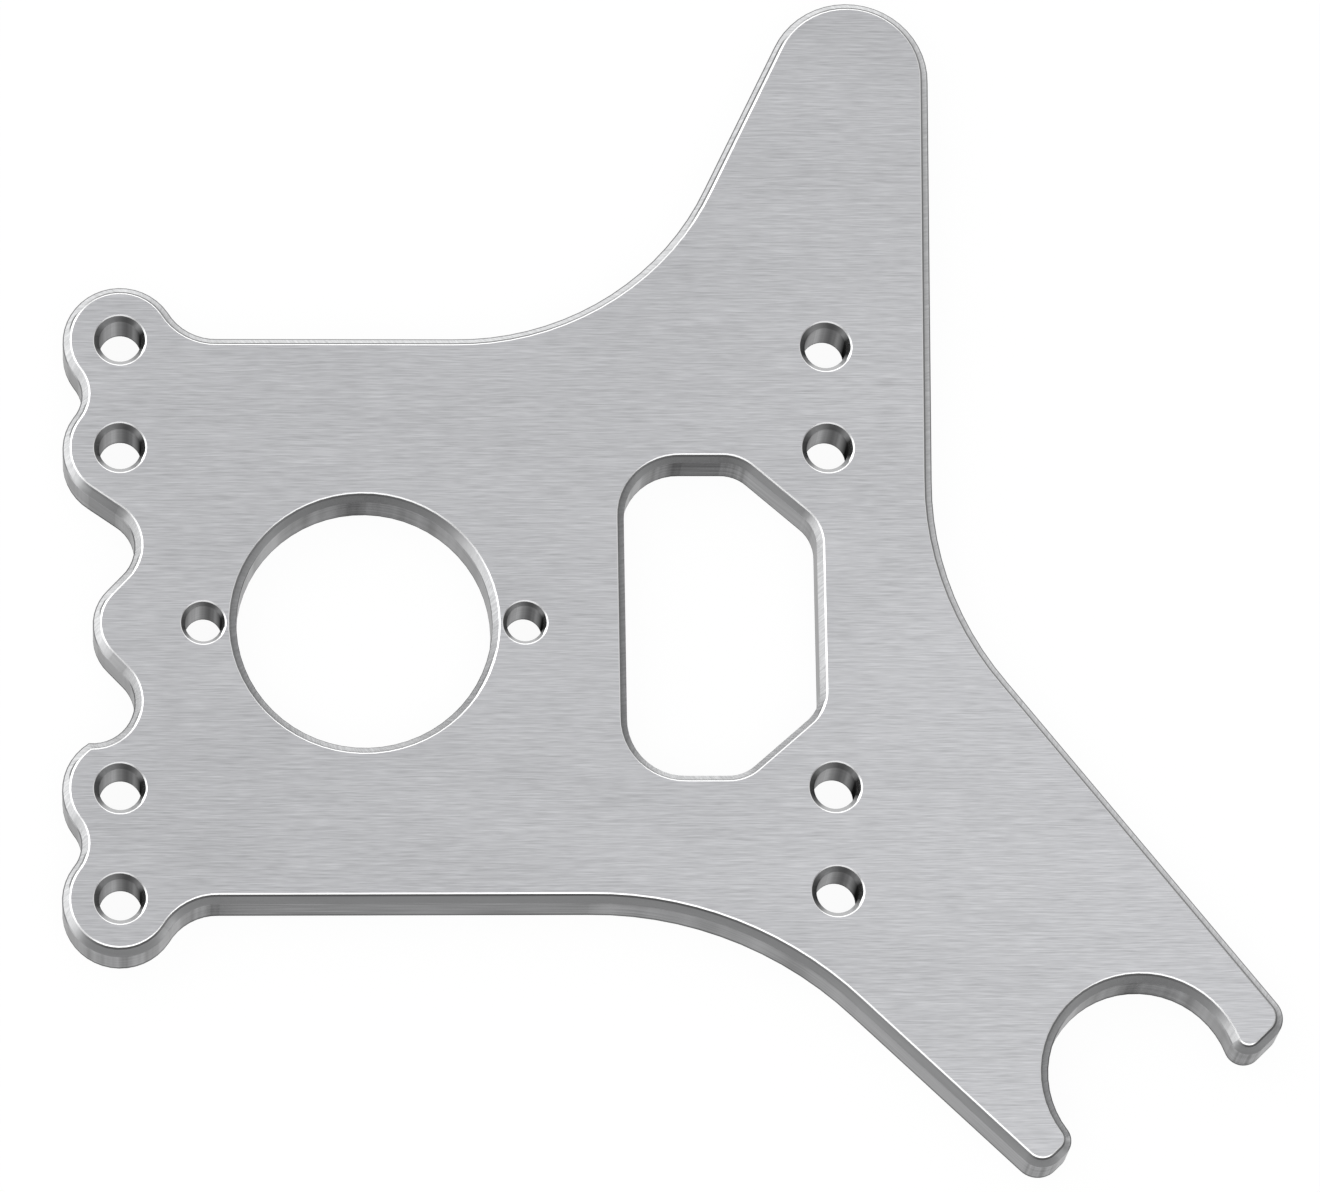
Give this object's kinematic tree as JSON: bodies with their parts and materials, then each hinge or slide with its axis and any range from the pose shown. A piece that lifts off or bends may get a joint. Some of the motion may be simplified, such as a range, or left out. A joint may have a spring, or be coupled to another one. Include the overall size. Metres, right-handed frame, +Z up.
{
  "type": "coil mounting bracket",
  "caption": "Flat aluminium plate bracket with a large bore, a window, a scalloped bolt edge, a horn and an arm that ends in a half-round tube cradle.",
  "frame": {"origin": "centre of the main bore, on the underside of the plate", "axes": "+Z up out of the chamfered top face; +X from the scalloped bolt edge towards the cradle arm; +Y towards the rounded horn"},
  "size_m": [0.2037, 0.2048, 0.0095],
  "materials": {
    "plate": "bare machined aluminium with a fine brushed grain on the faces and bright milled edges"
  },
  "bodies": {
    "root": {"bracket_plate": "plate"}
  },
  "joints": []
}
